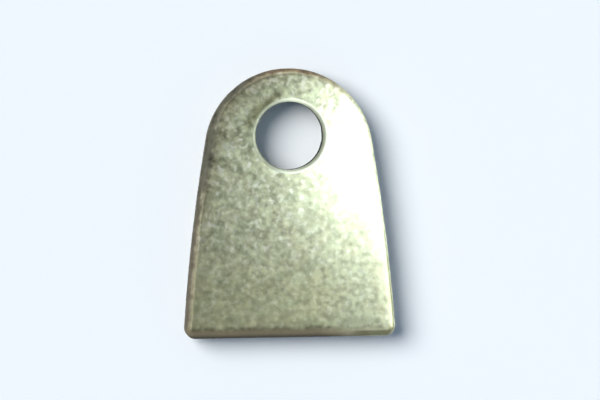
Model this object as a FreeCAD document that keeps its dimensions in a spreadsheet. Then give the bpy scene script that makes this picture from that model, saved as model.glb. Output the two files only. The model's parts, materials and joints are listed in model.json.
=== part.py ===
import FreeCAD, Part
import math
import os

import Sketcher

# Flat weld-on bracket: one steel plate, blanked and pierced in one stroke of a press.
# It lies on its back face, with the straight weld edge towards -Y and the round nose towards +Y.
# The origin is the middle of the outline on the back face, and +Z comes out of the front face.
# Each cut wall has the section that a press leaves: a rolled front edge, a square land, and a torn,
# slanting part towards the back face, where the plate's outline is smaller and its hole is larger.

# Driving dimensions, in millimetres and degrees
DIMENSIONS = (
    ("height", 50.8, "weld edge to the top of the nose"),
    ("base_width", 40.0, "overall, across the two base corners"),
    ("nose_radius", 15.875, "round end of the outline"),
    ("side_radius", 350.0, "slight outward bow of each tapering side"),
    ("corner_radius", 2.0, "base corners of the outline"),
    ("thickness", 6.35, "back face to front face"),
    ("hole_diameter", 12.7, "bolt hole, at its square land"),
    ("hole_setback", 12.7, "hole centre below the top of the nose"),
    ("outline_roll_radius", 1.4, "front edge of the outline"),
    ("hole_roll_radius", 0.7, "front edge of the hole"),
    ("breakout_height", 2.6, "torn part of each cut wall, from the back face"),
    ("breakout_angle", 5.0, "lean of the torn part, away from square"),
    ("edge_break_radius", 0.3, "back edges, tumbled free of burr"),
)

NODE = "bracket_plate"
FOLDER = "parts"
START, END, CENTRE = range(1, 4)  # how a sketch counts an element's points
SKETCH_ORIGIN, Y_AXIS = -1, -2  # how a sketch counts its own origin and vertical axis
ROLL_SHARE = 0.9  # the most of a wall or corner that a rolled edge takes up


def make_sheet(doc):
    """The driving dimensions, one named cell each."""
    sheet = doc.addObject("Spreadsheet::Sheet", "sizes")
    for row, (name, value, meaning) in enumerate(DIMENSIONS, start=1):
        sheet.set(f"A{row}", name)
        sheet.set(f"B{row}", str(value))
        sheet.set(f"C{row}", meaning)
        sheet.setAlias(f"B{row}", name)
    doc.recompute()
    return sheet


def add_sketch(body, name):
    """A sketch parallel to the back face, at the level where the torn part of the walls begins."""
    plane = next(f for f in body.Origin.OriginFeatures if f.Role == "XY_Plane")
    sketch = body.newObject("Sketcher::SketchObject", name)
    sketch.AttachmentSupport = [(plane, "")]
    sketch.MapMode = "FlatFace"
    sketch.setExpression("AttachmentOffset.Base.z", "sizes.breakout_height")
    return sketch


def bind(sketch, name, expression, *constraint):
    """Adds a named dimension to a sketch and ties it to the sheet."""
    index = sketch.addConstraint(Sketcher.Constraint(*constraint))
    sketch.renameConstraint(index, name)
    sketch.setExpression(f"Constraints.{name}", expression)


def direction(start, end):
    """The angle of the line from one point to another."""
    return math.atan2(end.y - start.y, end.x - start.x)


def mirrored(point):
    """The same point on the other side of the centre line."""
    return FreeCAD.Vector(-point.x, point.y, 0)


def arc(centre, radius, first, last):
    """A sketch arc, counter-clockwise from the first angle to the last."""
    return Part.ArcOfCircle(Part.Circle(centre, FreeCAD.Vector(0, 0, 1), radius), first, last)


def side_centre(nose, corner, to_nose, to_corner):
    """The centre of the right-hand side, from its distances to the centres of the nose and the corner."""
    across = corner - nose
    along = (to_nose**2 - to_corner**2 + across.Length**2) / (2 * across.Length)
    aside = math.sqrt(to_nose**2 - along**2)
    across.normalize()
    return nose + across * along + FreeCAD.Vector(across.y, -across.x, 0) * aside


def outline_elements(size):
    """The outline, counter-clockwise: base, right corner, right side, nose, left side, left corner."""
    base_y = -size("height") / 2
    corner_r, side_r, nose_r = size("corner_radius"), size("side_radius"), size("nose_radius")
    corner = FreeCAD.Vector(size("base_width") / 2 - corner_r, base_y + corner_r, 0)
    nose = FreeCAD.Vector(0, size("height") / 2 - nose_r, 0)
    side = side_centre(nose, corner, side_r - nose_r, side_r - corner_r)
    low, high = direction(side, corner), direction(side, nose)
    base_end = FreeCAD.Vector(corner.x, base_y, 0)
    return (
        Part.LineSegment(mirrored(base_end), base_end),
        arc(corner, corner_r, -math.pi / 2, low),
        arc(side, side_r, low, high),
        arc(nose, nose_r, high, math.pi - high),
        arc(mirrored(side), side_r, math.pi - high, math.pi - low),
        arc(mirrored(corner), corner_r, math.pi - low, 3 * math.pi / 2),
    )


def outline_sketch(body, size):
    """A straight base, and bowed sides that run smoothly into the nose and the base corners."""
    sketch = add_sketch(body, "outline")
    ring = [sketch.addGeometry(element, False) for element in outline_elements(size)]
    for this, following in zip(ring, ring[1:] + ring[:1]):
        sketch.addConstraint(Sketcher.Constraint("Tangent", this, END, following, START))
    base, corner, side, nose, left_side, left_corner = ring
    sketch.addConstraint(Sketcher.Constraint("Symmetric", base, START, base, END, Y_AXIS))
    sketch.addConstraint(Sketcher.Constraint("PointOnObject", nose, CENTRE, Y_AXIS))
    sketch.addConstraint(Sketcher.Constraint("Equal", corner, left_corner))
    sketch.addConstraint(Sketcher.Constraint("Equal", side, left_side))

    for name, element in (("corner_radius", corner), ("side_radius", side), ("nose_radius", nose)):
        bind(sketch, name, f"sizes.{name}", "Radius", element, size(name))
    half_height = size("height") / 2
    nose_y = half_height - size("nose_radius")
    spacing = size("base_width") - 2 * size("corner_radius")
    bind(
        sketch, "base_level", "sizes.height / 2",
        "DistanceY", base, START, SKETCH_ORIGIN, START, half_height,
    )
    bind(
        sketch, "nose_level", "sizes.height / 2 - sizes.nose_radius",
        "DistanceY", SKETCH_ORIGIN, START, nose, CENTRE, nose_y,
    )
    bind(
        sketch, "corner_spacing", "sizes.base_width - 2 * sizes.corner_radius",
        "DistanceX", left_corner, CENTRE, corner, CENTRE, spacing,
    )
    return sketch


def hole_sketch(body, size):
    """The bolt hole's circle, on the centre line and set back from the nose."""
    sketch = add_sketch(body, "hole")
    centre = FreeCAD.Vector(0, size("height") / 2 - size("hole_setback"), 0)
    circle = Part.Circle(centre, FreeCAD.Vector(0, 0, 1), size("hole_diameter") / 2)
    hole = sketch.addGeometry(circle, False)
    sketch.addConstraint(Sketcher.Constraint("PointOnObject", hole, CENTRE, Y_AXIS))
    bind(sketch, "hole_diameter", "sizes.hole_diameter", "Diameter", hole, size("hole_diameter"))
    bind(
        sketch, "hole_level", "sizes.height / 2 - sizes.hole_setback",
        "DistanceY", SKETCH_ORIGIN, START, hole, CENTRE, centre.y,
    )
    return sketch


def cut_wall(body, kind, sketch, lean):
    """A pad or pocket with a sheared wall: square above the sketch, and leaning in the torn part below it."""
    feature = body.newObject(f"PartDesign::{kind}", f"{sketch.Name}_{kind.lower()}")
    feature.Profile = sketch
    feature.SideType = "Two sides"
    feature.Reversed = kind == "Pocket"  # a pocket's first side would otherwise be the lower one
    feature.setExpression("Length", "sizes.thickness - sizes.breakout_height")
    feature.setExpression("Length2", "sizes.breakout_height")
    feature.setExpression("TaperAngle2", lean)
    body.Document.recompute()
    return feature


def rim(shape, pick, hole):
    """The edges round the front face (pick is max) or the back face (min), along the hole or the outline."""
    face = pick(shape.Faces, key=lambda candidate: candidate.CenterOfMass.z)
    edges = [edge for wire in face.Wires if wire.isSame(face.OuterWire) != hole for edge in wire.Edges]
    return [
        f"Edge{number}"
        for number, candidate in enumerate(shape.Edges, start=1)
        if any(candidate.isSame(edge) for edge in edges)
    ]


def round_rim(body, name, pick, hole, radius):
    """Rounds the edges that one of the plate's flat faces has along the hole or the outline."""
    base = body.Tip
    feature = body.newObject("PartDesign::Fillet", name)
    feature.Base = (base, rim(base.Shape, pick, hole))
    feature.setExpression("Radius", radius)
    body.Document.recompute()


def make_plate(doc, size):
    """The blanked and pierced plate, with rolled front edges and tumbled back edges."""
    body = doc.addObject("PartDesign::Body", "plate")
    body.Label = NODE
    blank = cut_wall(body, "Pad", outline_sketch(body, size), "-sizes.breakout_angle")
    pierced = cut_wall(body, "Pocket", hole_sketch(body, size), "sizes.breakout_angle")
    straight_hole = math.pi * (size("hole_diameter") / 2) ** 2 * size("thickness")
    if blank.Shape.Volume - pierced.Shape.Volume < straight_hole:
        raise RuntimeError("the bolt hole does not go right through")

    land = f"{ROLL_SHARE} * (sizes.thickness - sizes.breakout_height)"
    corner = f"{ROLL_SHARE} * sizes.corner_radius"
    round_rim(body, "outline_roll", max, False, f"min(sizes.outline_roll_radius; {land}; {corner})")
    round_rim(body, "hole_roll", max, True, f"min(sizes.hole_roll_radius; {land})")
    round_rim(body, "outline_break", min, False, "sizes.edge_break_radius")
    round_rim(body, "hole_break", min, True, "sizes.edge_break_radius")
    return body


def check(doc, pieces):
    """Stops before anything is written if an object failed or a piece isn't one sound solid."""
    failed = [item.Name for item in doc.Objects if {"Invalid", "Error"} & set(item.State)]
    if failed:
        raise RuntimeError(f"these objects failed: {failed}")
    sketches = doc.findObjects("Sketcher::SketchObject")
    loose = [sketch.Name for sketch in sketches if not sketch.FullyConstrained]
    if loose:
        raise RuntimeError(f"these sketches are not fully constrained: {loose}")
    for piece in pieces:
        shape = piece.Shape
        if shape.isNull() or not shape.isValid() or len(shape.Solids) != 1:
            raise RuntimeError(f"{piece.Label} is not one valid solid")


def main():
    doc = FreeCAD.newDocument("triangle_bracket")
    sheet = make_sheet(doc)

    def size(name):
        return float(sheet.get(name))

    pieces = [make_plate(doc, size)]
    doc.recompute()
    check(doc, pieces)
    os.makedirs(FOLDER, exist_ok=True)
    for piece in pieces:
        piece.Shape.exportStep(os.path.join(FOLDER, f"{piece.Label}.step"))
        print(f"{piece.Label}: {piece.Shape.Volume:.1f} mm3")


main()
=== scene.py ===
import json
import math
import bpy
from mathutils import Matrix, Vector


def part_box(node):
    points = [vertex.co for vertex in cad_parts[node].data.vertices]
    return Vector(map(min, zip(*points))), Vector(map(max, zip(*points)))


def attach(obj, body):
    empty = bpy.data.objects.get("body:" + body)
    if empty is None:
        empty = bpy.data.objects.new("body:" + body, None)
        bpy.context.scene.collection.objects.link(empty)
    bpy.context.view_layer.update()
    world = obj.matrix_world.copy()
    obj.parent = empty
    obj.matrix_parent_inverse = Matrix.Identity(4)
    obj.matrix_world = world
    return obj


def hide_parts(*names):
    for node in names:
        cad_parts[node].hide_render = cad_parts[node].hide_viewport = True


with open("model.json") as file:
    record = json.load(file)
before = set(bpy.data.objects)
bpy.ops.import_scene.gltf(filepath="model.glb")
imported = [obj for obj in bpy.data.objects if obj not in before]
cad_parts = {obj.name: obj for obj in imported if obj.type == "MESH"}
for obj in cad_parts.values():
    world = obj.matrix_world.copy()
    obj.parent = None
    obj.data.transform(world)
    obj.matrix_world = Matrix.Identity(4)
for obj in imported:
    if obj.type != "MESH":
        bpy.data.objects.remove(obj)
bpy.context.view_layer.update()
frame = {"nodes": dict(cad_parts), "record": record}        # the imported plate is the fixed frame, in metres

from types import SimpleNamespace

import bmesh
import bpy
from mathutils import Vector, noise
from mathutils.kdtree import KDTree

print("frame loaded:", sorted(frame["nodes"]))


# Small helpers for meshes

loopMarks = ("spoke", "loop")       # what each vertex keeps while its mesh is extruded


def selectOnly(piece=None):
    bpy.ops.object.select_all(action="DESELECT")
    if piece is not None:
        piece.select_set(True)
        bpy.context.view_layer.objects.active = piece


def smoothShare(value, low, high):
    share = min(max((value - low) / (high - low), 0.0), 1.0)
    return share * share * (3 - 2 * share)


def waver(spot, size, seed):
    # smooth wandering from about -1 to 1, the same on every run
    return noise.noise(Vector((spot.x / size, spot.y / size, seed)))


def placeLoop(piece, loops, number):
    # moves the selected loop's vertices, each to the point of its own spoke
    mesh = bmesh.from_edit_mesh(piece.data)
    spoke, loop = (mesh.verts.layers.int[name] for name in loopMarks)
    for vert in mesh.verts:
        if vert.select:
            vert.co = loops[number][vert[spoke]]
            vert[loop] = number
    bmesh.update_edit_mesh(piece.data)


def extrudeLoops(piece, loops):
    # extrudes a circle loop by loop, and leaves the piece in edit mode with everything selected
    bpy.ops.object.mode_set(mode="EDIT")
    mesh = bmesh.from_edit_mesh(piece.data)
    for name in loopMarks:
        mesh.verts.layers.int.new(name)
    spoke = mesh.verts.layers.int[loopMarks[0]]
    for i, vert in enumerate(mesh.verts):
        vert[spoke] = i
    bpy.ops.mesh.select_all(action="SELECT")
    placeLoop(piece, loops, 0)
    for number in range(1, len(loops)):
        bpy.ops.mesh.extrude_edges_move()
        placeLoop(piece, loops, number)
    bpy.ops.mesh.select_all(action="SELECT")


def leaveEditMode():
    bpy.ops.mesh.normals_make_consistent(inside=False)
    bpy.ops.mesh.faces_shade_smooth()
    bpy.ops.object.mode_set(mode="OBJECT")


def dropLoopMarks(piece):
    for name in loopMarks:
        piece.data.attributes.remove(piece.data.attributes[name])


# The steel plate

plate = {
    "node": "bracket_plate",
    "slot": "tumbled_steel",
    "noseRadius": 0.015875,
    "sideRadius": 0.350,
    "cornerRadius": 0.002,
    "outlineRoll": 0.0014,      # round front edge of the outline
    "holeRoll": 0.0007,         # round front edge of the hole
    "rollWaver": 0.10,          # how much a roll's radius wanders, as a share
    "rollWaverSize": 0.006,
    "rollSeed": 1.5,
    "rollToWall": (0.2, 0.9),   # shares of a roll's turn between which it starts to count as cut wall
    "tornHeight": 0.0026,       # torn part of the cut walls, above the back face
    "tornWaver": 0.00035,       # how far the torn line wanders up and down
    "tornWaverSize": 0.0035,
    "tornSeed": 7.5,
    "tornLean": math.radians(5),
    "backRound": 0.0003,        # tumbled back edges
    "spokeStep": 0.00045,       # mesh spacing along the outline
    "measureStep": 0.00005,     # spacing of the points that distances to the outline are taken from
    "mergeGap": 1e-7,           # where the last loop meets the first
    "cornerSpokes": 10,
    "rollLoops": 10,
    "landLoops": 5,
    "tornLoops": 6,
    "backLoops": 4,
    "frontRings": 60,
    "backRings": 48,
}

plateLow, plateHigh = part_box(plate["node"])
plate["thickness"] = plateHigh.z - plateLow.z
boltHole = next(mount for mount in frame["record"]["mounts"] if mount["name"] == "bolt_hole")
plate["holeRadius"] = boltHole["dims"]["r_mm"] / 1000
plate["holeCentre"] = Vector((boltHole["pos_m"][0], boltHole["pos_m"][1], 0))


def outlineArcs(shape):
    # right half of the outline as arcs: centre, radius, first angle, last angle
    halfWidth, noseTop, baseY = plateHigh.x, plateHigh.y, plateLow.y
    cornerR, sideR, noseR = shape["cornerRadius"], shape["sideRadius"], shape["noseRadius"]
    corner = Vector((halfWidth - cornerR, baseY + cornerR, 0))
    nose = Vector((0, noseTop - noseR, 0))
    across = corner - nose
    along = ((sideR - noseR) ** 2 - (sideR - cornerR) ** 2 + across.length_squared) / (2 * across.length)
    aside = math.sqrt((sideR - noseR) ** 2 - along ** 2)
    across.normalize()
    side = nose + across * along + Vector((across.y, -across.x, 0)) * aside
    low = math.atan2(corner.y - side.y, corner.x - side.x)
    high = math.atan2(nose.y - side.y, nose.x - side.x)
    return [
        (corner, cornerR, -math.pi / 2, low),
        (side, sideR, low, high),
        (nose, noseR, high, math.pi / 2),
    ]


def outlineSpokes(shape, step):
    # points round the outline with their outward normals, from the middle of the base, counter-clockwise
    baseY = plateLow.y
    arcs = outlineArcs(shape)
    baseEnd = arcs[0][0].x
    baseCount = round(baseEnd / step)
    half = [(Vector((baseEnd * i / baseCount, baseY, 0)), Vector((0, -1, 0))) for i in range(baseCount)]
    for centre, radius, first, last in arcs:
        count = max(round(radius * (last - first) / step), shape["cornerSpokes"])
        for i in range(count):
            angle = first + (last - first) * i / count
            normal = Vector((math.cos(angle), math.sin(angle), 0))
            half.append((centre + normal * radius, normal))
    top = [(Vector((0, plateHigh.y, 0)), Vector((0, 1, 0)))]
    mirrored = [(Vector((-p.x, p.y, 0)), Vector((-n.x, n.y, 0))) for p, n in reversed(half[1:])]
    return half + top + mirrored


def cutSection(shape, roll, spot):
    # a sheared wall from front to back at one spot, as steps out from the land and heights
    thick, lean, back = shape["thickness"], shape["tornLean"], shape["backRound"]
    roll *= 1 + shape["rollWaver"] * waver(spot, shape["rollWaverSize"], shape["rollSeed"])
    tornTop = shape["tornHeight"]
    tornTop += shape["tornWaver"] * waver(spot, shape["tornWaverSize"], shape["tornSeed"])
    section = []
    for i in range(shape["rollLoops"] + 1):
        turn = math.pi / 2 * i / shape["rollLoops"]
        section.append((roll * (math.sin(turn) - 1), thick + roll * (math.cos(turn) - 1)))
    landTop = thick - roll
    for i in range(1, shape["landLoops"] + 1):
        section.append((0, landTop + (tornTop - landTop) * i / shape["landLoops"]))
    tornFoot = back * (1 - math.sin(lean))
    for i in range(1, shape["tornLoops"] + 1):
        height = tornTop + (tornFoot - tornTop) * i / shape["tornLoops"]
        section.append(((height - tornTop) * math.tan(lean), height))
    footOut = (tornFoot - tornTop) * math.tan(lean) - back * math.cos(lean)
    for i in range(1, shape["backLoops"] + 1):
        turn = lean + (math.pi / 2 - lean) * i / shape["backLoops"]
        section.append((footOut + back * math.cos(turn), back * (1 - math.sin(turn))))
    return section


def wallLoops(shape, roll, spokes):
    # loops down a cut wall, from the front face to the back face
    sections = [cutSection(shape, roll, spot) for spot, _ in spokes]
    return [
        [spot + way * out + Vector((0, 0, height)) for (spot, way), (out, height) in zip(spokes, stations)]
        for stations in zip(*sections)
    ]


def plateLoops(shape, spokes):
    # closed loops round the plate's section: over the front, down the outline, under the back, up the hole
    outer = wallLoops(shape, shape["outlineRoll"], spokes)
    centre = shape["holeCentre"]
    ways = [((centre - point) * Vector((1, 1, 0))).normalized() for point in outer[0]]
    inner = wallLoops(shape, shape["holeRoll"], [(centre - way * shape["holeRadius"], way) for way in ways])

    def face(fromLoop, toLoop, rings):
        shares = [i / rings for i in range(1, rings)]
        return [[a.lerp(b, share) for a, b in zip(fromLoop, toLoop)] for share in shares]

    front = face(inner[0], outer[0], shape["frontRings"])
    back = face(outer[-1], inner[-1], shape["backRings"])
    return [inner[0], *front, *outer, *back, *reversed(inner)]


def wallMarks(shape):
    # for each loop of plateLoops: how much it is a cut wall, and how much it is torn
    rolls = [smoothShare(i / shape["rollLoops"], *shape["rollToWall"]) for i in range(shape["rollLoops"] + 1)]
    backs = [1 - i / shape["backLoops"] for i in range(1, shape["backLoops"] + 1)]
    wall = rolls + [1] * (shape["landLoops"] + shape["tornLoops"]) + backs
    torn = [0] * (len(rolls) + shape["landLoops"]) + [1] * shape["tornLoops"] + backs
    down = list(zip(wall, torn))
    front = [(0, 0)] * (shape["frontRings"] - 1)
    back = [(0, 0)] * (shape["backRings"] - 1)
    return [down[0], *front, *down, *back, *reversed(down)]


def setAttribute(piece, name, values):
    piece.data.attributes.new(name, "FLOAT", "POINT")
    piece.data.attributes[name].data.foreach_set("value", values)


def measurePlate(piece, shape):
    # what the steel's finish follows: cut walls, torn walls, and the distances to the outline and the hole
    loopOf = [item.value for item in piece.data.attributes["loop"].data]
    marks = wallMarks(shape)
    setAttribute(piece, "wall", [marks[loop][0] for loop in loopOf])
    setAttribute(piece, "torn", [marks[loop][1] for loop in loopOf])
    outline = outlineSpokes(shape, shape["measureStep"])
    tree = KDTree(len(outline))
    for i, (spot, _) in enumerate(outline):
        tree.insert(spot, i)
    tree.balance()
    flat = [vert.co * Vector((1, 1, 0)) for vert in piece.data.vertices]
    setAttribute(piece, "edgeDistance", [tree.find(spot)[2] for spot in flat])
    centre, radius = shape["holeCentre"], shape["holeRadius"]
    setAttribute(piece, "rimDistance", [(spot - centre).length - radius for spot in flat])


def makePlate(shape):
    # a circle at the hole's rim, extruded round the section until it meets itself
    spokes = outlineSpokes(shape, shape["spokeStep"])
    selectOnly()
    bpy.ops.mesh.primitive_circle_add(vertices=len(spokes), radius=shape["holeRadius"])
    piece = bpy.context.active_object
    piece.name = "weldBracket"
    extrudeLoops(piece, plateLoops(shape, spokes))
    bpy.ops.mesh.remove_doubles(threshold=shape["mergeGap"])
    leaveEditMode()
    measurePlate(piece, shape)
    dropLoopMarks(piece)
    return piece


weldBracket = makePlate(plate)
print("plate modelled:", len(weldBracket.data.polygons), "faces")


# Die roll, tumbling and tearing, pressed into the plate's own mesh

dieRoll = {
    "reach": 0.0040,        # how far in from the outline the press drew the front face down
    "depth": 0.00016,
}

relief = {
    # name: feature size, depth, the attribute that says where
    "faceSway": (0.009, 0.00003, None),
    "tumbleDents": (0.0024, 0.00004, None),
    "edgeKnocks": (0.0016, 0.00006, "wall"),
    "tornSteel": (0.0008, 0.00014, "torn"),
}


def pressMesh(piece, name, weights, **settings):
    # one displacement, applied over the whole mesh or by the vertices' weights
    modifier = piece.modifiers.new(name, "DISPLACE")
    for key, value in settings.items():
        setattr(modifier, key, value)
    if weights is not None:
        group = piece.vertex_groups.new(name=name)
        for i, weight in enumerate(weights):
            if weight > 0:
                group.add([i], weight, "REPLACE")
        modifier.vertex_group = group.name
    selectOnly(piece)
    bpy.ops.object.modifier_apply(modifier=name)


def drawDown(piece, roll, shape):
    # the front face dips towards the outline before its round edge begins
    weights = []
    for vert, item in zip(piece.data.vertices, piece.data.attributes["edgeDistance"].data):
        share = max(1 - item.value / roll["reach"], 0) ** 2
        weights.append(share * smoothShare(vert.co.z, shape["tornHeight"], shape["thickness"]))
    pressMesh(piece, "dieRoll", weights, direction="Z", mid_level=0.0, strength=-roll["depth"])


def pressRelief(piece, name, size, depth, place):
    # clouds that only ever press inwards
    clouds = bpy.data.textures.new(name, "CLOUDS")
    clouds.noise_scale = size
    clouds.noise_depth = 1
    weights = None
    if place is not None:
        weights = [item.value for item in piece.data.attributes[place].data]
    pressMesh(piece, name, weights, texture=clouds, texture_coords="LOCAL", mid_level=1.0, strength=depth)


drawDown(weldBracket, dieRoll, plate)
for name, (size, depth, place) in relief.items():
    pressRelief(weldBracket, name, size, depth, place)
weldBracket.vertex_groups.clear()
print("relief pressed:", ", ".join(relief))


# Small helpers for materials

def addNode(tree, kind, inputs=None, **settings):
    node = tree.nodes.new(kind)
    for key, value in settings.items():
        setattr(node, key, value)
    for key, value in (inputs or {}).items():
        if isinstance(value, bpy.types.NodeSocket):
            tree.links.new(value, node.inputs[key])
        else:
            node.inputs[key].default_value = value
    return node


def calc(tree, operation, first, *others):
    for value in others:
        first = addNode(tree, "ShaderNodeMath", {0: first, 1: value}, operation=operation).outputs[0]
    return first


def ramp(tree, value, low, high, first=0.0, last=1.0):
    inputs = {"Value": value, "From Min": low, "From Max": high, "To Min": first, "To Max": last}
    return addNode(tree, "ShaderNodeMapRange", inputs, interpolation_type="SMOOTHSTEP").outputs["Result"]


def patch(tree, look, *parts):
    # where a finish is: several ramps multiplied, each a value and the name of its span in the dictionary
    return calc(tree, "MULTIPLY", *(ramp(tree, value, *look[name]) for value, name in parts))


def mixColour(tree, share, first, second, way="MIX"):
    node = addNode(tree, "ShaderNodeMix", {0: share, 6: first, 7: second}, data_type="RGBA", blend_type=way)
    return node.outputs[2]


def attribute(tree, name):
    return addNode(tree, "ShaderNodeAttribute", attribute_name=name).outputs["Fac"]


def cloudy(tree, coords, size, detail=2.0):
    inputs = {"Vector": coords, "Scale": 1 / size, "Detail": detail}
    return addNode(tree, "ShaderNodeTexNoise", inputs).outputs["Fac"]


def swing(tree, clouds, depth):
    # clouds made to swing about nought
    return calc(tree, "MULTIPLY", calc(tree, "SUBTRACT", clouds, 0.5), 2 * depth)


def squeezed(tree, coords, shares):
    # coordinates that draw a pattern out along the axes whose share is small
    return addNode(tree, "ShaderNodeVectorMath", {0: coords, 1: shares}, operation="MULTIPLY").outputs[0]


def strokes(tree, coords, turn, length, width):
    # clouds drawn out along one direction in the plate's plane
    inputs = {"Vector": coords, "Angle": math.radians(turn)}
    turned = addNode(tree, "ShaderNodeVectorRotate", inputs, rotation_type="Z_AXIS").outputs[0]
    return cloudy(tree, squeezed(tree, turned, (width / length, 1, 1)), width, detail=0.5)


def newMaterial(name):
    material = bpy.data.materials.new(name)
    material.use_nodes = True
    material.node_tree.nodes.clear()
    return material


# Tumbled steel
# A name that ends in Across, Up, In, Span, Strength, Shade or Shift is a ramp: where it begins and ends,
# and its values there, 0 and 1 if none are given. Across runs from left to right, Up from base to nose,
# and In from an edge into the face.

steel = {
    # speckled grey all over
    "green": (0.529, 0.558, 0.366, 1),
    "warm": (0.552, 0.555, 0.363, 1),
    "hueSize": 0.0035,
    "hueSpan": (0.35, 0.65),
    "mottleSize": 0.0026,
    "mottleDetail": 2.0,
    "mottleDepth": 0.32,
    "grainSize": 0.0010,
    "grainDetail": 1.5,
    "grainDepth": 0.24,
    "slope": 0.6,                           # how much going left counts beside going up
    "cloudStrength": (-0.022, 0.024, 0.35, 1.6),
    "markStrength": (-0.022, 0.024, 0.45, 1.15),
    "strokeTurns": (25, 80, 140),           # short tumbling marks, in three directions
    "strokeLength": 0.0012,
    "strokeWidth": 0.00095,
    "brightSpan": (0.60, 0.74, 0.0, 0.50),
    "darkSpan": (0.24, 0.42, 0.12, 0.0),
    "level": 1.03,
    "pale": (0.86, 0.87, 0.70, 1),          # bright tumbling marks, partly painted glints
    "wander": 0.0004,                       # how far the borders of films and stains wander

    # thin films on the face, and a painted highlight that brightens the top of the nose
    "paintedHighlightTop": (1.22, 1.22, 1.21, 1),
    "paintedHighlightTopAcross": (-0.0075, -0.0010),
    "paintedHighlightTopUp": (0.0150, 0.0205),
    "lowFilm": (0.965, 0.955, 0.895, 1),    # yellower, over the lower middle
    "lowFilmAcross": (0.004, 0.013, 1.0, 0.0),
    "lowFilmUp": (-0.018, -0.006, 1.0, 0.0),
    "film": (1.0, 0.93, 0.90, 1),           # warm, near the left edge
    "filmIn": (0.0012, 0.0045, 1.0, 0.0),
    "filmAcross": (-0.012, 0.006, 1.0, 0.0),
    "filmUp": (-0.010, 0.004, 0.3, 1.0),

    # brown oxide on the outline's roll
    "leftOxide": (0.160, 0.144, 0.106, 1),
    "upperLeftOxide": (0.114, 0.113, 0.084, 1),
    "topOxide": (0.250, 0.184, 0.113, 1),
    "oxideAcross": (0.002, 0.016, 1.0, 0.0),
    "upperLeftUp": (-0.008, 0.008),
    "topAcross": (-0.010, 0.0),
    # painted shade: the outermost lip of the roll is darkened
    "lipPaintedShade": (0.0002, 0.0008, 0.75, 1.0),
    "thinShade": (0.0, 1.0, 1.9, 1.0),      # lighter where it thins out
    "shoulder": 0.008,                      # height of the left shoulder, where it is widest
    "shoulderShift": (0.003, 0.012, -0.0004, 0.0),
    "lowLeftShift": (-0.018, -0.004, 0.00015, 0.0),
    "topShift": (-0.008, -0.001, 0.0, 0.00005),
    "matteShift": (-0.012, 0.0, 0.0004, 0.0),
    "matteIn": (0.0006, 0.0012, 1.0, 0.0),
    "stainIn": (0.0006, 0.0018, 1.0, 0.0),
    "stainAcross": (-0.008, 0.0, 1.0, 0.25),
    "stainUp": (-0.004, 0.004, 0.12, 1.0),
    "thickIn": (0.0003, 0.0011, 1.0, 0.70),

    # brown oxide along the base
    "baseOxide": (0.170, 0.149, 0.097, 1),
    # painted shade: the base oxide is darker at the very edge
    "oxideAndPaintedShadeOnBaseEdge": (0.086, 0.074, 0.051, 1),
    "baseEdgeIn": (0.0002, 0.0010),
    "baseAcross": (0.004, 0.018, 1.0, 0.35),
    "baseMatteIn": (0.0010, 0.0020, 1.0, 0.0),
    "baseStainIn": (0.0014, 0.0027, 1.0, 0.0),

    # painted shade on the right-hand roll and beside the hole, and the hole's rim: burnished wear with a
    # painted highlight
    "paintedShadeOnRoll": (0.44, 0.435, 0.39, 1),
    "paintedShadeOnRollStartIn": (0.0, 0.0004),
    "paintedShadeOnRollEndIn": (0.0010, 0.0015, 1.0, 0.0),
    "paintedShadeOnRollAcross": (0.010, 0.014),
    "paintedShadeOnRollUp": (-0.012, 0.0, 1.0, 0.0),
    "paintedShadeByHole": (0.47, 0.46, 0.39, 1),        # painted shade beside the hole, at its upper left
    "paintedShadeByHoleSpan": (0.0080, 0.0102),
    "paintedShadeByHoleIn": (0.0012, 0.0030, 1.0, 0.0),
    "rim": (0.86, 0.88, 0.70, 1),           # burnished rim of the hole, partly a painted highlight
    # painted shade: the rim's colour is darker on the hole's left side
    "rimLeftPaintedShadeColour": (0.27, 0.28, 0.20, 1),
    "rimIn": (0.0006, 0.0009, 1.0, 0.0),
    "rimAcross": (-0.0048, 0.0015),

    # oxidised cut walls
    "wallDark": (0.128, 0.119, 0.093, 1),
    "holeWall": (0.185, 0.196, 0.188, 1),
    "holeWallIn": (0.0008, 0.0012),
    "tornGrey": (0.180, 0.172, 0.152, 1),
    "tornShade": (0.3, 0.7, 0.78, 1.22),
    "dragWidth": 0.0005,                    # marks dragged down the walls
    "dragShare": 0.06,
    "dragShade": (0.3, 0.7, 0.8, 1.2),
    "wallSpan": (0.0047, 0.0051, 1.0, 0.0),     # by height above the back face

    # gloss
    "roughSpan": (0.2, 0.8, 0.338, 0.458),
    "wallRough": 0.25,
    "tornRough": 0.1,
    "rimRough": 0.22,
    "matteRough": 0.3,
    "matteCover": 0.92,                     # share of the metal that matte oxide hides
    "specular": 0.25,
    "specularTint": (0.6, 0.6, 0.6, 1),     # dull at grazing angles, as oxidised steel is
    "bumpMottle": 0.5,
    "bumpStrength": 0.5,
    "bumpDepth": 0.00003,
}


def steelPlaces(tree, look):
    # what the finish follows: places on the plate, distances from its edges, walls and clouds
    coords = addNode(tree, "ShaderNodeTexCoord").outputs["Object"]
    spot = addNode(tree, "ShaderNodeSeparateXYZ", {0: coords}).outputs
    mottle = cloudy(tree, coords, look["mottleSize"], look["mottleDetail"])
    grain = cloudy(tree, coords, look["grainSize"], look["grainDetail"])
    wander = calc(tree, "ADD", swing(tree, mottle, look["wander"]), swing(tree, grain, look["wander"]))
    return SimpleNamespace(
        coords=coords,
        x=spot["X"],
        y=spot["Y"],
        z=spot["Z"],
        edge=attribute(tree, "edgeDistance"),
        base=calc(tree, "SUBTRACT", spot["Y"], plateLow.y),
        rim=attribute(tree, "rimDistance"),
        wall=attribute(tree, "wall"),
        torn=attribute(tree, "torn"),
        mottle=mottle,
        grain=grain,
        wander=wander,
        halfWander=calc(tree, "MULTIPLY", wander, 0.5),
    )


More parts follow.
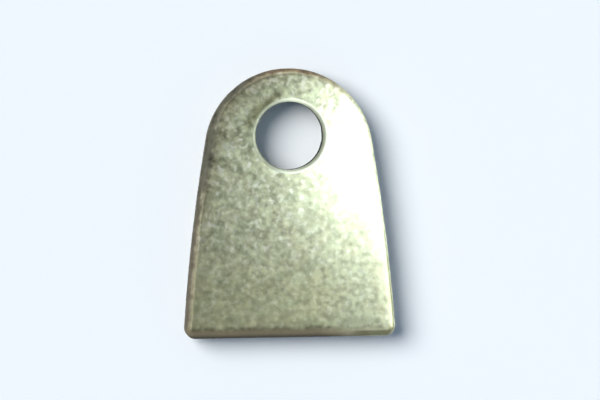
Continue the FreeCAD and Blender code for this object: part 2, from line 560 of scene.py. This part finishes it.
def speckledGrey(tree, look, at):
    # greenish and warmer greys with mottling, grain and short marks, strongest towards the upper left; the
    # pale marks are partly painted glints
    hue = ramp(tree, cloudy(tree, at.coords, look["hueSize"]), *look["hueSpan"])
    colour = mixColour(tree, hue, look["green"], look["warm"])
    light = swing(tree, at.mottle, look["mottleDepth"])
    light = calc(tree, "ADD", light, swing(tree, at.grain, look["grainDepth"]))
    marksAndPaintedGlints = 0.0
    for turn in look["strokeTurns"]:
        marks = strokes(tree, at.coords, turn, look["strokeLength"], look["strokeWidth"])
        marksAndPaintedGlints = calc(tree, "ADD", marksAndPaintedGlints, ramp(tree, marks, *look["brightSpan"]))
        light = calc(tree, "SUBTRACT", light, ramp(tree, marks, *look["darkSpan"]))
    upperLeft = calc(tree, "SUBTRACT", at.y, calc(tree, "MULTIPLY", at.x, look["slope"]))
    light = calc(tree, "MULTIPLY", light, ramp(tree, upperLeft, *look["cloudStrength"]))
    light = calc(tree, "ADD", light, look["level"])
    marksAndPaintedGlints = calc(tree, "MULTIPLY", marksAndPaintedGlints, ramp(tree, upperLeft, *look["markStrength"]))
    colour = mixColour(tree, 1.0, colour, light, "MULTIPLY")
    return mixColour(tree, marksAndPaintedGlints, colour, look["pale"]), light


def filmedFaceAndPaintedHighlight(tree, look, at, colour):
    # painted highlight brightening the top of the nose, then the two films
    paintedHighlightTop = patch(tree, look, (at.y, "paintedHighlightTopUp"), (at.x, "paintedHighlightTopAcross"))
    colour = mixColour(tree, paintedHighlightTop, colour, look["paintedHighlightTop"], "MULTIPLY")
    low = patch(tree, look, (at.y, "lowFilmUp"), (at.x, "lowFilmAcross"))
    colour = mixColour(tree, low, colour, look["lowFilm"], "MULTIPLY")
    reach = calc(tree, "ADD", at.edge, at.wander)
    film = patch(tree, look, (reach, "filmIn"), (at.x, "filmAcross"), (at.y, "filmUp"))
    return mixColour(tree, film, colour, look["film"], "MULTIPLY")


def oxidisedOutline(tree, look, at, colour, light):
    # brown along the outline, widest at the left shoulder and gone on the right-hand side
    fromShoulder = calc(tree, "ABSOLUTE", calc(tree, "SUBTRACT", at.y, look["shoulder"]), 0.0)
    shifts = ((fromShoulder, "shoulderShift"), (at.y, "lowLeftShift"), (at.x, "topShift"))
    fromOutline = calc(tree, "ADD", at.edge, *(ramp(tree, value, *look[name]) for value, name in shifts))

    # on the roll itself the oxide is thick enough to be matte
    reach = calc(tree, "SUBTRACT", fromOutline, ramp(tree, at.y, *look["matteShift"]))
    reach = calc(tree, "ADD", reach, at.halfWander)
    matte = patch(tree, look, (reach, "matteIn"), (at.x, "oxideAcross"))

    upward = ramp(tree, at.y, *look["upperLeftUp"])
    brown = mixColour(tree, upward, look["leftOxide"], look["upperLeftOxide"])
    brown = mixColour(tree, ramp(tree, at.x, *look["topAcross"]), brown, look["topOxide"])
    # painted shade darkens the outermost lip; the oxide is lighter where it thins out
    for shade in (ramp(tree, at.edge, *look["lipPaintedShade"]), ramp(tree, matte, *look["thinShade"]), light):
        brown = mixColour(tree, 1.0, brown, shade, "MULTIPLY")

    reach = calc(tree, "ADD", fromOutline, at.wander)
    spans = ((reach, "stainIn"), (at.x, "oxideAcross"), (at.y, "stainUp"), (at.x, "stainAcross"))
    stain = patch(tree, look, *spans)
    thick = ramp(tree, calc(tree, "ADD", at.edge, at.wander), *look["thickIn"])
    oxide = calc(tree, "MAXIMUM", stain, calc(tree, "MULTIPLY", matte, thick))
    return mixColour(tree, oxide, colour, brown), matte


def oxidisedBase(tree, look, at, colour, light):
    # brown oxide along the base, weaker towards the right, with painted shade darkening it at the very edge
    reach = calc(tree, "ADD", at.base, at.halfWander)
    matte = patch(tree, look, (reach, "baseMatteIn"), (at.x, "baseAcross"))
    fromEdge = ramp(tree, at.base, *look["baseEdgeIn"])
    brown = mixColour(tree, fromEdge, look["oxideAndPaintedShadeOnBaseEdge"], look["baseOxide"])
    brown = mixColour(tree, 1.0, brown, light, "MULTIPLY")
    reach = calc(tree, "ADD", at.base, at.wander)
    oxide = patch(tree, look, (reach, "baseStainIn"), (at.x, "baseAcross"))
    return mixColour(tree, oxide, colour, brown), matte


def edgeWearAndPaintedLight(tree, look, at, colour):
    # painted shade darkens the lower half of the right-hand roll
    spans = ((at.edge, "paintedShadeOnRollStartIn"), (at.edge, "paintedShadeOnRollEndIn"), (at.x, "paintedShadeOnRollAcross"), (at.y, "paintedShadeOnRollUp"))
    colour = mixColour(tree, patch(tree, look, *spans), colour, look["paintedShadeOnRoll"], "MULTIPLY")

    # painted shade at the upper left of the hole, then its rim: burnished wear with a painted highlight
    upperLeft = calc(tree, "SUBTRACT", at.y, plate["holeCentre"].y, at.x)
    reach = calc(tree, "ADD", at.rim, at.wander)
    paintedShadeByHole = patch(tree, look, (upperLeft, "paintedShadeByHoleSpan"), (reach, "paintedShadeByHoleIn"))
    colour = mixColour(tree, paintedShadeByHole, colour, look["paintedShadeByHole"], "MULTIPLY")
    rimWearAndPaintedHighlight = ramp(tree, at.rim, *look["rimIn"])
    # painted shade: darker rim colour on the hole's left side
    rim = mixColour(tree, ramp(tree, at.x, *look["rimAcross"]), look["rimLeftPaintedShadeColour"], look["rim"])
    return mixColour(tree, rimWearAndPaintedHighlight, colour, rim), rimWearAndPaintedHighlight


def cutWalls(tree, look, at, colour):
    # below the rolls: a land with marks dragged down it, and a coarse grey torn part
    land = mixColour(tree, ramp(tree, at.rim, *look["holeWallIn"]), look["holeWall"], look["wallDark"])
    downward = squeezed(tree, at.coords, (1, 1, look["dragShare"]))
    drag = cloudy(tree, downward, look["dragWidth"], detail=1.0)
    land = mixColour(tree, 1.0, land, ramp(tree, drag, *look["dragShade"]), "MULTIPLY")
    tear = mixColour(tree, 1.0, look["tornGrey"], ramp(tree, at.grain, *look["tornShade"]), "MULTIPLY")
    below = calc(tree, "MULTIPLY", at.wall, ramp(tree, at.z, *look["wallSpan"]))
    return mixColour(tree, below, colour, mixColour(tree, at.torn, land, tear))


def steelMaterial(look):
    material = newMaterial("tumbledSteel")
    tree = material.node_tree
    at = steelPlaces(tree, look)
    colour, light = speckledGrey(tree, look, at)
    colour = filmedFaceAndPaintedHighlight(tree, look, at, colour)
    colour, matteOutline = oxidisedOutline(tree, look, at, colour, light)
    colour, matteBase = oxidisedBase(tree, look, at, colour, light)
    colour, rimWearAndPaintedHighlight = edgeWearAndPaintedLight(tree, look, at, colour)
    colour = cutWalls(tree, look, at, colour)

    matte = calc(tree, "MAXIMUM", matteOutline, matteBase)
    rough = ramp(tree, at.grain, *look["roughSpan"])
    rougher = ((at.wall, "wallRough"), (at.torn, "tornRough"), (rimWearAndPaintedHighlight, "rimRough"), (matte, "matteRough"))
    for share, name in rougher:
        rough = calc(tree, "ADD", rough, calc(tree, "MULTIPLY", share, look[name]))
    height = calc(tree, "ADD", at.grain, calc(tree, "MULTIPLY", at.mottle, look["bumpMottle"]))
    inputs = {"Strength": look["bumpStrength"], "Distance": look["bumpDepth"], "Height": height}
    bump = addNode(tree, "ShaderNodeBump", inputs)
    inputs = {
        "Base Color": colour,
        "Metallic": calc(tree, "SUBTRACT", 1.0, calc(tree, "MULTIPLY", matte, look["matteCover"])),
        "Roughness": rough,
        "Specular IOR Level": look["specular"],
        "Specular Tint": look["specularTint"],
        "Normal": bump.outputs["Normal"],
    }
    shader = addNode(tree, "ShaderNodeBsdfPrincipled", inputs)
    addNode(tree, "ShaderNodeOutputMaterial", {"Surface": shader.outputs["BSDF"]})
    return material


weldBracket.data.materials.append(steelMaterial(steel))
print("steel finished")

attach(weldBracket, "root")
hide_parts(plate["node"])


# Pale floor that turns up at its rim, so that low views have a pale background too

stage = {
    "colour": (0.855, 0.922, 0.982, 1),
    "flatRadius": 0.7,
    "rimRadius": 1.3,
    "rimHeight": 0.24,
    "spokes": 128,
    "rimLoops": 12,
}


def makeFloor(shape):
    ways = [2 * math.pi * i / shape["spokes"] for i in range(shape["spokes"])]
    loops = []
    for i in range(shape["rimLoops"] + 1):
        share = i / shape["rimLoops"]
        radius = shape["flatRadius"] + (shape["rimRadius"] - shape["flatRadius"]) * share
        height = shape["rimHeight"] * share ** 2
        loops.append([Vector((radius * math.cos(way), radius * math.sin(way), height)) for way in ways])
    selectOnly()
    bpy.ops.mesh.primitive_circle_add(vertices=shape["spokes"], radius=shape["flatRadius"], fill_type="NGON")
    piece = bpy.context.active_object
    piece.name = "paleFloor"
    extrudeLoops(piece, loops)
    leaveEditMode()
    dropLoopMarks(piece)
    return piece


def floorMaterial(look):
    material = newMaterial("palePaper")
    tree = material.node_tree
    inputs = {"Base Color": look["colour"], "Roughness": 1.0, "Specular IOR Level": 0.0}
    shader = addNode(tree, "ShaderNodeBsdfPrincipled", inputs)
    addNode(tree, "ShaderNodeOutputMaterial", {"Surface": shader.outputs["BSDF"]})
    return material


paleFloor = makeFloor(stage)
paleFloor.data.materials.append(floorMaterial(stage))
print("floor laid")


# Light

studio = {
    "skyLow": (0.055, 0.062, 0.066, 1),
    "skyHigh": (0.285, 0.305, 0.311, 1),
    "fill": (0.134, 0.175, 0.232, 1),       # what the floor and the shadows get from the sky
    "sunAzimuth": math.radians(151),
    "sunZenith": math.radians(42),
    "sunWidth": math.radians(40),
    "sunColour": (1.046, 1.0, 0.942),
    "sunLevel": 3.47,
}

panels = {
    # soft panels that only the steel's gloss shows: place, aim, size, colour and brightness
    "windowPanel": (
        (0.0696, -0.0214, 0.0313), (0.0509, -0.0476, 0.006), (0.1343, 0.0401), (0.90, 1.0, 1.10), 6.73,
    ),
    "sidePanel": ((0.22, 0.0, 0.16), (0.0, 0.0, 0.005), (0.40, 0.30), (1.0, 1.0, 1.0), 0.9),
    "leftPanel": ((-0.25, 0.06, 0.12), (0.0, 0.0, 0.005), (0.30, 0.16), (1.0, 1.0, 1.0), 0.8),
    "frontPanel": ((0.0, -0.25, 0.10), (0.0, 0.0, 0.005), (0.30, 0.16), (1.0, 1.0, 1.0), 0.9),
}


def addLamp(name, kind, place, toward, **settings):
    lamp = bpy.data.objects.new(name, bpy.data.lights.new(name, kind))
    for key, value in settings.items():
        setattr(lamp.data, key, value)
    lamp.location = place
    lamp.rotation_euler = (place - toward).to_track_quat("Z", "Y").to_euler()
    bpy.context.scene.collection.objects.link(lamp)
    return lamp


def addSky(look):
    # the gloss sees a sky that gets brighter upwards, and the rest is lit by an even fill
    world = bpy.data.worlds.new("studioSky")
    bpy.context.scene.world = world
    world.use_nodes = True
    tree = world.node_tree
    tree.nodes.clear()
    way = addNode(tree, "ShaderNodeTexCoord").outputs["Generated"]
    height = addNode(tree, "ShaderNodeSeparateXYZ", {0: way}).outputs["Z"]
    sky = mixColour(tree, ramp(tree, height, 0.0, 1.0), look["skyLow"], look["skyHigh"])
    rays = addNode(tree, "ShaderNodeLightPath").outputs
    seen = [rays["Is Camera Ray"], rays["Is Glossy Ray"], rays["Is Transmission Ray"]]
    colour = mixColour(tree, calc(tree, "MAXIMUM", *seen), look["fill"], sky)
    background = addNode(tree, "ShaderNodeBackground", {"Color": colour})
    addNode(tree, "ShaderNodeOutputWorld", {"Surface": background.outputs["Background"]})


def addSun(look):
    zenith, azimuth = look["sunZenith"], look["sunAzimuth"]
    out = math.sin(zenith)
    place = Vector((out * math.cos(azimuth), out * math.sin(azimuth), math.cos(zenith)))
    settings = {"energy": look["sunLevel"], "angle": look["sunWidth"], "color": look["sunColour"]}
    sun = addLamp("softSun", "SUN", place, Vector(), **settings)
    sun.visible_glossy = False


def addPanels(rows):
    for name, (place, aim, (wide, high), tint, level) in rows.items():
        settings = {"shape": "RECTANGLE", "size": wide, "size_y": high, "color": tint}
        settings["energy"] = level * math.pi * wide * high
        panel = addLamp(name, "AREA", Vector(place), Vector(aim), **settings)
        panel.visible_diffuse = False
        panel.visible_camera = False


addSky(studio)
addSun(studio)
addPanels(panels)
print("studio lit")


# Camera at the photo's viewing angle

view = {
    "aim": Vector((0.00208, 0.00052, 0.004)),
    "height": 0.500,            # above the aim
    "fromLeft": math.radians(6.5),
    "fromAbove": math.radians(2.8),
    "roll": math.radians(-0.35),
    "frameWidth": 0.1132,       # width of the frame at the aim
    "sensor": 36,
}


def addCamera(look):
    back = Vector((-math.tan(look["fromLeft"]), math.tan(look["fromAbove"]), 1)) * look["height"]
    data = bpy.data.cameras.new("productCamera")
    data.sensor_width = look["sensor"]
    data.lens = look["sensor"] * back.length / look["frameWidth"]
    camera = bpy.data.objects.new("productCamera", data)
    bpy.context.scene.collection.objects.link(camera)
    camera.location = look["aim"] + back
    camera.rotation_mode = "ZXY"
    camera.rotation_euler = (-math.asin(back.y / back.length), math.atan2(back.x, back.z), look["roll"])
    bpy.context.scene.camera = camera


addCamera(view)
bpy.context.scene.view_settings.view_transform = "Standard"
print("camera set")
